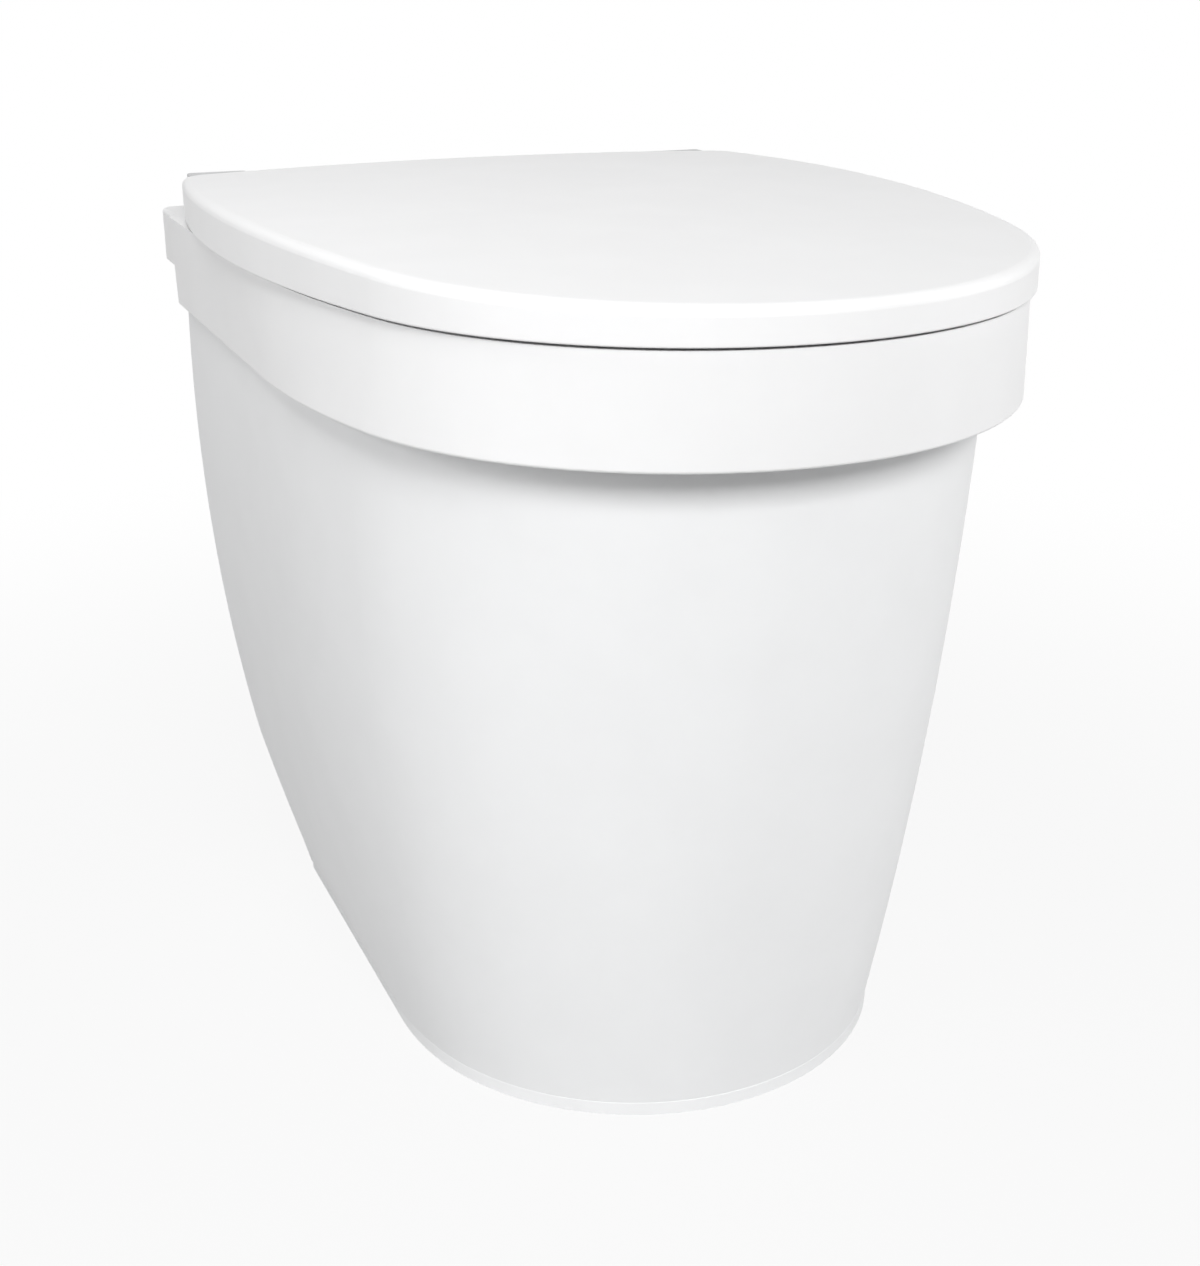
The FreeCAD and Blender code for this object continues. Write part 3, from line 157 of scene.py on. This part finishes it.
def new_group(name, inputs, outputs):
    tree = bpy.data.node_groups.new(name, "ShaderNodeTree")
    for label, default in inputs.items():
        socket = tree.interface.new_socket(label, in_out="INPUT", socket_type="NodeSocketFloat")
        socket.default_value = default
    for label in outputs:
        tree.interface.new_socket(label, in_out="OUTPUT", socket_type="NodeSocketFloat")
    return tree, tree.nodes.new("NodeGroupInput").outputs, tree.nodes.new("NodeGroupOutput").inputs


def object_noise(tree, scale, detail, stretch=(1, 1, 1)):
    place = add(tree, "TexCoord").outputs["Object"]
    spread = add(tree, "Mapping", {"Vector": place, "Scale": stretch}).outputs["Vector"]
    return add(tree, "TexNoise", {"Vector": spread, "Scale": scale, "Detail": detail}).outputs["Fac"]


def stepped(tree, value, low, high):
    return add(tree, "MapRange", {"Value": value, "From Min": low, "From Max": high}).outputs["Result"]


def moulded_skin():
    """Fine skin grain, slow ripple and tone of an injection moulding."""
    scales = {"Grain Scale": 700, "Ripple Scale": 9}
    tree, given, out = new_group("moulded_skin", scales, ("Grain", "Ripple", "Tone"))
    tree.links.new(object_noise(tree, given["Grain Scale"], 3), out["Grain"])
    tree.links.new(object_noise(tree, given["Ripple Scale"], 1), out["Ripple"])
    tree.links.new(stepped(tree, object_noise(tree, 23, 4), 0.35, 0.65), out["Tone"])
    return tree


def fine_marks():
    """Thin wiping marks that dull the gloss a little."""
    tree, given, out = new_group("fine_marks", {"Amount": 0.5}, ("Marks",))
    along = stepped(tree, object_noise(tree, 60, 2, (1, 14, 14)), 0.6, 0.75)
    across = stepped(tree, object_noise(tree, 55, 2, (13, 1, 13)), 0.62, 0.78)
    both = add(tree, "Math", {0: along, 1: across}, operation="MAXIMUM").outputs[0]
    scaled = add(tree, "Math", {0: both, 1: given["Amount"]}, operation="MULTIPLY").outputs[0]
    tree.links.new(scaled, out["Marks"])
    return tree


def settled_dust():
    """Dust on faces that look up."""
    tree, given, out = new_group("settled_dust", {"Amount": 0.3}, ("Dust",))
    up = add(tree, "SeparateXYZ", {0: add(tree, "NewGeometry").outputs["Normal"]}).outputs["Z"]
    level = stepped(tree, up, 0.4, 1)
    patchy = stepped(tree, object_noise(tree, 90, 6), 0.3, 0.7)
    lying = add(tree, "Math", {0: level, 1: patchy}, operation="MULTIPLY").outputs[0]
    scaled = add(tree, "Math", {0: lying, 1: given["Amount"]}, operation="MULTIPLY").outputs[0]
    tree.links.new(scaled, out["Dust"])
    return tree


def drawn_streaks():
    """Fine streaks of drawn or turned metal."""
    tree, given, out = new_group("drawn_streaks", {"Scale": 400}, ("Streaks",))
    tree.links.new(object_noise(tree, given["Scale"], 4, (0.1, 1, 1)), out["Streaks"])
    return tree


GROUPS = {}


def group_node(tree, maker, **values):
    """One of the shared effects, built the first time it is asked for."""
    name = maker.__name__
    if name not in GROUPS:
        GROUPS[name] = maker()
    node = tree.nodes.new("ShaderNodeGroup")
    node.node_tree = GROUPS[name]
    for label, value in values.items():
        node.inputs[label.replace("_", " ")].default_value = value
    return node.outputs


def mixed(tree, factor, low, high):
    sockets = {"Factor": factor, COLOUR_A: (*low, 1), COLOUR_B: (*high, 1)}
    return add(tree, "Mix", sockets, data_type="RGBA").outputs[COLOUR_OUT]


def between(tree, factor, low, high):
    return add(tree, "MapRange", {"Value": factor, "To Min": low, "To Max": high}).outputs["Result"]


def shade(colour, factor):
    return tuple(min(1.0, channel * factor) for channel in colour)


def new_material(name):
    material = bpy.data.materials.new(name)
    material.use_nodes = True
    return material, material.node_tree, material.node_tree.nodes["Principled BSDF"]


def plastic(name, colour, roughness, grain=0.00001, ripple=0.0, marks=0.5, dust=0.0, coat=0.0):
    """Moulded plastic: close tones, a grained and slightly rippled skin, wiping marks and a little dust."""
    material, tree, skin = new_material(name)
    moulded = group_node(tree, moulded_skin)
    tint = mixed(tree, moulded["Tone"], shade(colour, LOW_TONE), colour)
    if dust:
        lying = group_node(tree, settled_dust, Amount=dust)["Dust"]
        sockets = {"Factor": lying, COLOUR_A: tint, COLOUR_B: DUST_COLOUR}
        tint = add(tree, "Mix", sockets, data_type="RGBA").outputs[COLOUR_OUT]
    tree.links.new(tint, skin.inputs["Base Color"])
    worn = group_node(tree, fine_marks, Amount=marks)["Marks"]
    tree.links.new(between(tree, worn, roughness, roughness + MARK_ROUGHNESS), skin.inputs["Roughness"])
    bump = add(tree, "Bump", {"Height": moulded["Ripple"], "Distance": ripple, "Strength": 1.0})
    fine = add(tree, "Bump", {"Height": moulded["Grain"], "Distance": grain, "Strength": 1.0,
                              "Normal": bump.outputs["Normal"]})
    tree.links.new(fine.outputs["Normal"], skin.inputs["Normal"])
    skin.inputs["Coat Weight"].default_value = coat
    skin.inputs["Coat Roughness"].default_value = COAT_ROUGHNESS
    return material


def rubber(name, colour):
    """Soft rubber with a pale bloom."""
    material, tree, skin = new_material(name)
    moulded = group_node(tree, moulded_skin, Grain_Scale=RUBBER_GRAIN_SCALE)
    tree.links.new(mixed(tree, moulded["Tone"], colour, shade(colour, 1.5)), skin.inputs["Base Color"])
    tree.links.new(between(tree, moulded["Tone"], *RUBBER_ROUGHNESS), skin.inputs["Roughness"])
    bump = add(tree, "Bump", {"Height": moulded["Grain"], "Distance": 0.00006, "Strength": 1.0})
    tree.links.new(bump.outputs["Normal"], skin.inputs["Normal"])
    return material


def metal(name, colour):
    """Plain steel with drawing streaks."""
    material, tree, skin = new_material(name)
    streaks = group_node(tree, drawn_streaks, Scale=STEEL_STREAK_SCALE)["Streaks"]
    tree.links.new(mixed(tree, streaks, shade(colour, 0.8), colour), skin.inputs["Base Color"])
    tree.links.new(between(tree, streaks, *STEEL_ROUGHNESS), skin.inputs["Roughness"])
    skin.inputs["Metallic"].default_value = 1.0
    bump = add(tree, "Bump", {"Height": streaks, "Distance": 0.00001, "Strength": 1.0})
    tree.links.new(bump.outputs["Normal"], skin.inputs["Normal"])
    return material


def milky(name, colour):
    """Unpigmented tank plastic that lets light a little way in."""
    material = plastic(name, colour, 0.34, grain=0.00003, ripple=0.0005, marks=0.6)
    skin = material.node_tree.nodes["Principled BSDF"]
    skin.inputs["Subsurface Weight"].default_value = 0.35
    skin.inputs["Subsurface Radius"].default_value = (1.0, 0.9, 0.7)
    skin.inputs["Subsurface Scale"].default_value = 0.006
    return material


def give(material, *names):
    """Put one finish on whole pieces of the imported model."""
    for name in names:
        piece = NODES[name]
        piece.data.materials.clear()
        piece.data.materials.append(material)


def coiled_wire(name, low, high, wire, turns, steps=32, sides=10):
    """Round wire wound evenly through the box from low to high, with closed ends."""
    axis = (low + high) / 2
    reach = (high.x - low.x) / 2 - wire
    rise = (high.z - low.z - 2 * wire) / (turns * steps)
    shape = bmesh.new()
    rings = []
    for step in range(turns * steps + 1):
        turned = math.tau * step / steps
        outward = Vector((math.cos(turned), math.sin(turned), 0))
        middle = Vector((axis.x, axis.y, low.z + wire + rise * step)) + outward * reach
        ring = []
        for side in range(sides):
            around = math.tau * side / sides
            ring.append(shape.verts.new(middle + wire * (outward * math.cos(around) + UP * math.sin(around))))
        rings.append(ring)
    for lower, upper in zip(rings, rings[1:]):
        for side in range(sides):
            shape.faces.new((lower[side - 1], lower[side], upper[side], upper[side - 1]))
    shape.faces.new(rings[0])
    shape.faces.new(rings[-1])
    bmesh.ops.recalc_face_normals(shape, faces=shape.faces)
    mesh = bpy.data.meshes.new(name)
    shape.to_mesh(mesh)
    shape.free()
    mesh.shade_smooth()
    coil = bpy.data.objects.new(name, mesh)
    bpy.context.scene.collection.objects.link(coil)
    return coil


class FinishBody(bpy.types.Operator):
    """White body shell with its rubber rim seal"""
    bl_idname = "dry_toilet.finish_body"
    bl_label = "Body Shell"

    def execute(self, context):
        shell, fittings, _ = settings()
        white = plastic("white_body_plastic", shell.colour, shell.roughness, shell.grain,
                        shell.ripple, marks=0.02)
        give(white, "body_shell")
        give(rubber("seal_rubber", fittings.rubber), "rim_seal")
        return {"FINISHED"}


class FinishTop(bpy.types.Operator):
    """White rim band, lid and seat with their buffers"""
    bl_idname = "dry_toilet.finish_top"
    bl_label = "Band, Lid and Seat"

    def execute(self, context):
        shell, fittings, _ = settings()
        white = plastic("white_top_plastic", shell.top_colour, shell.roughness - 0.04, shell.grain,
                        shell.ripple / 2, marks=0.02)
        give(white, "rim_band", "lid_cover", "seat_ring")
        give(rubber("buffer_rubber", fittings.buffer), "seat_buffers", "lid_buffers")
        return {"FINISHED"}


class FinishHinges(bpy.types.Operator):
    """Hinge blocks with grey caps, bushes, steel pins and bolts"""
    bl_idname = "dry_toilet.finish_hinges"
    bl_label = "Hinges"

    def execute(self, context):
        shell, fittings, _ = settings()
        give(plastic("white_hinge_plastic", shell.top_colour, shell.roughness, shell.grain, marks=0.1),
             "hinge_block_left", "hinge_block_right")
        give(plastic("grey_hinge_plastic", fittings.hinge, 0.42, grain=0.00004, marks=0.8),
             "hinge_cap_left", "hinge_cap_right")
        give(plastic("bush_plastic", fittings.bush, 0.38), "lid_bushes", "seat_bushes")
        give(metal("pin_steel", fittings.steel), "hinge_pins", "hinge_bolts")
        return {"FINISHED"}


class FinishBowl(bpy.types.Operator):
    """Diverting bowl with its drain"""
    bl_idname = "dry_toilet.finish_bowl"
    bl_label = "Diverting Bowl"

    def execute(self, context):
        shell, fittings, _ = settings()
        bowl = plastic("white_bowl_plastic", shell.bowl_colour, 0.2, shell.grain, shell.ripple / 2, coat=0.3)
        give(bowl, "diverter_bowl")
        give(plastic("drain_plastic", shade(shell.bowl_colour, 0.9), 0.3), "drain_spout", "spout_nut")
        give(metal("strainer_steel", fittings.steel), "drain_strainer")
        give(rubber("washer_rubber", fittings.rubber), "spout_washer")
        return {"FINISHED"}


class FinishScreen(bpy.types.Operator):
    """View screen with its pins, push rod, guide and spring"""
    bl_idname = "dry_toilet.finish_screen"
    bl_label = "View Screen"

    def execute(self, context):
        shell, fittings, _ = settings()
        give(plastic("screen_plastic", shade(shell.bowl_colour, 0.86), 0.3, marks=0.9), "view_screen")
        give(plastic("rod_plastic", fittings.bush, 0.36), "push_rod", "rod_guide")
        steel = metal("spring_steel", fittings.steel)
        give(steel, "screen_pins")
        low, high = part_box("return_spring")
        coil = coiled_wire("spring_coil", low, high, fittings.spring_wire, fittings.spring_turns)
        coil.data.materials.append(steel)
        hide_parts("return_spring")
        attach(coil, "top")
        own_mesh(coil)
        return {"FINISHED"}


class FinishBins(bpy.types.Operator):
    """Solids bucket with bag ring, and urine container"""
    bl_idname = "dry_toilet.finish_bins"
    bl_label = "Bucket and Container"

    def execute(self, context):
        _, fittings, _ = settings()
        grey = plastic("bucket_plastic", fittings.bucket, 0.45, grain=0.00006, ripple=0.0005,
                       marks=1.0, dust=0.25)
        give(grey, "solids_bucket")
        give(plastic("ring_plastic", shade(fittings.bucket, 1.4), 0.4, marks=0.8), "bag_ring")
        give(milky("container_plastic", fittings.can), "urine_can")
        return {"FINISHED"}


class FinishVent(bpy.types.Operator):
    """Fan, vent spigot and power inlet"""
    bl_idname = "dry_toilet.finish_vent"
    bl_label = "Fan and Vent"

    def execute(self, context):
        shell, fittings, _ = settings()
        give(plastic("fan_plastic", fittings.fan, 0.4, grain=0.00005, dust=0.3), "fan_frame", "fan_rotor")
        give(metal("fan_steel", fittings.steel), "fan_axle", "fan_screws")
        give(metal("guard_steel", shade(fittings.steel, 0.8)), "fan_guard")
        give(plastic("spigot_plastic", shade(shell.colour, 0.95), 0.34, shell.grain), "vent_spigot")
        give(rubber("gasket_rubber", fittings.rubber), "vent_gasket")
        give(plastic("inlet_plastic", fittings.fan, 0.36), "power_inlet", "inlet_nut")
        return {"FINISHED"}


def area_light(name, place, size, power, mirrored=True):
    """Soft lamp that looks at the middle of the object."""
    lamp = bpy.data.lights.new(name, "AREA")
    lamp.shape = "RECTANGLE"
    lamp.size, lamp.size_y = size
    lamp.energy = power
    holder = bpy.data.objects.new(name, lamp)
    bpy.context.scene.collection.objects.link(holder)
    holder.location = place
    holder.visible_camera = False
    holder.visible_glossy = mirrored
    holder.rotation_euler = (Vector(AIM) - Vector(place)).to_track_quat("-Z", "Y").to_euler()


def seen_white(tree):
    """True for rays that look at the backdrop straight, in a reflection or through a clear piece."""
    path = add(tree, "LightPath").outputs
    either = add(tree, "Math", {0: path["Is Camera Ray"], 1: path["Is Glossy Ray"]}, operation="MAXIMUM")
    any_ray = add(tree, "Math", {0: either.outputs[0], 1: path["Is Transmission Ray"]}, operation="MAXIMUM")
    return any_ray.outputs[0]


def light_world(level):
    world = bpy.data.worlds.new("studio")
    world.use_nodes = True
    bpy.context.scene.world = world
    tree = world.node_tree
    sky = tree.nodes["Background"]
    sky.inputs["Strength"].default_value = level
    sky.inputs["Color"].default_value = WHITE
    white = add(tree, "Background", {"Color": WHITE, "Strength": 1.0})
    mix = add(tree, "MixShader", {0: seen_white(tree), 1: sky.outputs[0], 2: white.outputs[0]})
    tree.links.new(mix.outputs[0], tree.nodes["World Output"].inputs["Surface"])


def lay_floor(colour, near_white):
    """Matt floor that keeps the shadow beside the object and fades to plain white."""
    mesh = bpy.data.meshes.new("studio_floor")
    far = FLOOR_REACH
    mesh.from_pydata([(-far, -far, 0), (far, -far, 0), (far, far, 0), (-far, far, 0)], [], [(0, 1, 2, 3)])
    floor = bpy.data.objects.new("studio_floor", mesh)
    bpy.context.scene.collection.objects.link(floor)
    material = bpy.data.materials.new("pale_floor")
    material.use_nodes = True
    tree = material.node_tree
    tree.nodes.remove(tree.nodes["Principled BSDF"])
    matte = add(tree, "BsdfDiffuse", {"Color": (*colour, 1)})
    white = add(tree, "Emission", {"Color": WHITE, "Strength": 1.0})
    away = add(tree, "VectorMath", {0: add(tree, "NewGeometry").outputs["Position"]}, operation="LENGTH")
    near, gone = FLOOR_FADE
    fading = add(tree, "MapRange", {"Value": away.outputs["Value"], "From Min": near, "From Max": gone,
                                    "To Min": near_white, "To Max": 1.0}, interpolation_type="SMOOTHSTEP")
    share = add(tree, "Math", {0: seen_white(tree), 1: fading.outputs["Result"]}, operation="MULTIPLY")
    mix = add(tree, "MixShader", {0: share.outputs[0], 1: matte.outputs[0], 2: white.outputs[0]})
    tree.links.new(mix.outputs[0], tree.nodes["Material Output"].inputs["Surface"])
    mesh.materials.append(material)


class BuildStage(bpy.types.Operator):
    """Camera at the photograph's angle, soft lights and a pale floor"""
    bl_idname = "dry_toilet.build_stage"
    bl_label = "Stage"

    def execute(self, context):
        _, _, stage = settings()
        camera = bpy.data.objects.new("camera", bpy.data.cameras.new("camera"))
        context.scene.collection.objects.link(camera)
        camera.location = stage.camera_place
        camera.rotation_euler = Vector(stage.camera_back).to_track_quat("Z", "Y").to_euler()
        camera.data.sensor_fit = "VERTICAL"
        camera.data.sensor_height = FRAME_HEIGHT_MM
        camera.data.lens = stage.lens
        camera.data.clip_start = 0.01
        context.scene.camera = camera
        context.scene.view_settings.view_transform = "Standard"
        light_world(stage.sky)
        area_light("key", (-0.3, -3.2, 2.25), (1.4, 1.0), stage.key)
        area_light("left", (-1.7, -0.5, 1.0), (0.8, 0.8), stage.left)
        area_light("right", (1.7, -0.6, 0.9), (1.0, 1.0), stage.right)
        area_light("overhead", (-0.6, -0.1, 1.5), (0.6, 0.6), stage.overhead)
        area_light("rear", (0.6, 2.0, 0.55), (1.2, 1.2), stage.rear, mirrored=False)
        lay_floor(stage.floor, stage.near_white)
        return {"FINISHED"}


class DryToiletPanel(bpy.types.Panel):
    """Lists the finishing steps"""
    bl_idname = "VIEW3D_PT_dry_toilet"
    bl_label = "Dry Toilet"
    bl_space_type = "VIEW_3D"
    bl_region_type = "UI"
    bl_category = "Dry Toilet"

    def draw(self, context):
        for group in settings():
            for prop in group.bl_rna.properties.keys():
                if prop not in ("rna_type", "name"):
                    self.layout.prop(group, prop)
        for step in STEPS:
            self.layout.operator(step.bl_idname)


STEPS = (FinishBody, FinishTop, FinishHinges, FinishBowl, FinishScreen, FinishBins, FinishVent, BuildStage)
CLASSES = (ShellProps, FittingProps, StageProps, *STEPS, DryToiletPanel)


def register():
    for item in CLASSES:
        bpy.utils.register_class(item)
    bpy.types.Scene.dry_toilet_shell = PointerProperty(type=ShellProps)
    bpy.types.Scene.dry_toilet_fittings = PointerProperty(type=FittingProps)
    bpy.types.Scene.dry_toilet_stage = PointerProperty(type=StageProps)


def unregister():
    for name in ("dry_toilet_shell", "dry_toilet_fittings", "dry_toilet_stage"):
        delattr(bpy.types.Scene, name)
    for item in reversed(CLASSES):
        bpy.utils.unregister_class(item)


def main():
    register()
    for step in STEPS:
        group, action = step.bl_idname.split(".")
        getattr(getattr(bpy.ops, group), action)()


if __name__ == "__main__":
    main()
